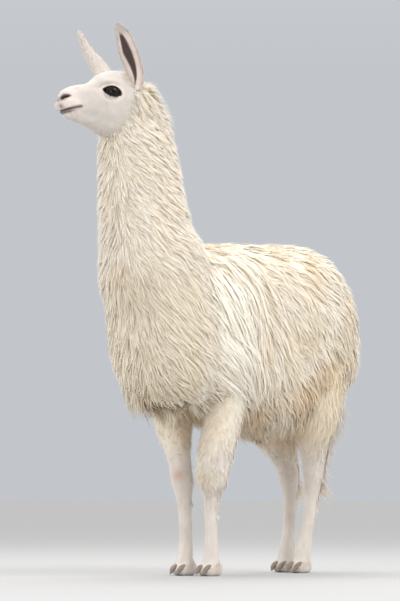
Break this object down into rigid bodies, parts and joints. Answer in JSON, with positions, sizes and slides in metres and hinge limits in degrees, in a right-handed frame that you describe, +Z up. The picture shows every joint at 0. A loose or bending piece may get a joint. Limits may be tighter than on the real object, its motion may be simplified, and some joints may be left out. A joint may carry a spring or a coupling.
{
  "type": "standing llama",
  "caption": "Life-size still model of an adult llama in long cream fleece, standing square with its head turned to its right and its ears up.",
  "frame": {"origin": "on the ground plane, under the middle of the whole animal's bounding box", "axes": "+X the way the trunk faces, +Y the animal's left, +Z up"},
  "size_m": [1.4868, 0.51, 1.852],
  "materials": {
    "fleece": "long soft cream wool in overlapping locks",
    "short_coat": "short dense white hair, grey skin at the lips and nostrils, dark grey-brown inside the ears",
    "eye": "wet gloss, nearly black",
    "claw": "dull horn"
  },
  "bodies": {
    "root": {"trunk": "fleece", "neck": "fleece", "tail": "fleece", "leg_front_left": "fleece", "leg_front_right": "fleece", "leg_hind_left": "fleece", "leg_hind_right": "fleece", "head": "short_coat", "ear_left": "short_coat", "ear_right": "short_coat", "eye_left": "eye", "eye_right": "eye", "claw_front_left_inner": "claw", "claw_front_left_outer": "claw", "claw_front_right_inner": "claw", "claw_front_right_outer": "claw", "claw_hind_left_inner": "claw", "claw_hind_left_outer": "claw", "claw_hind_right_inner": "claw", "claw_hind_right_outer": "claw"}
  },
  "joints": []
}
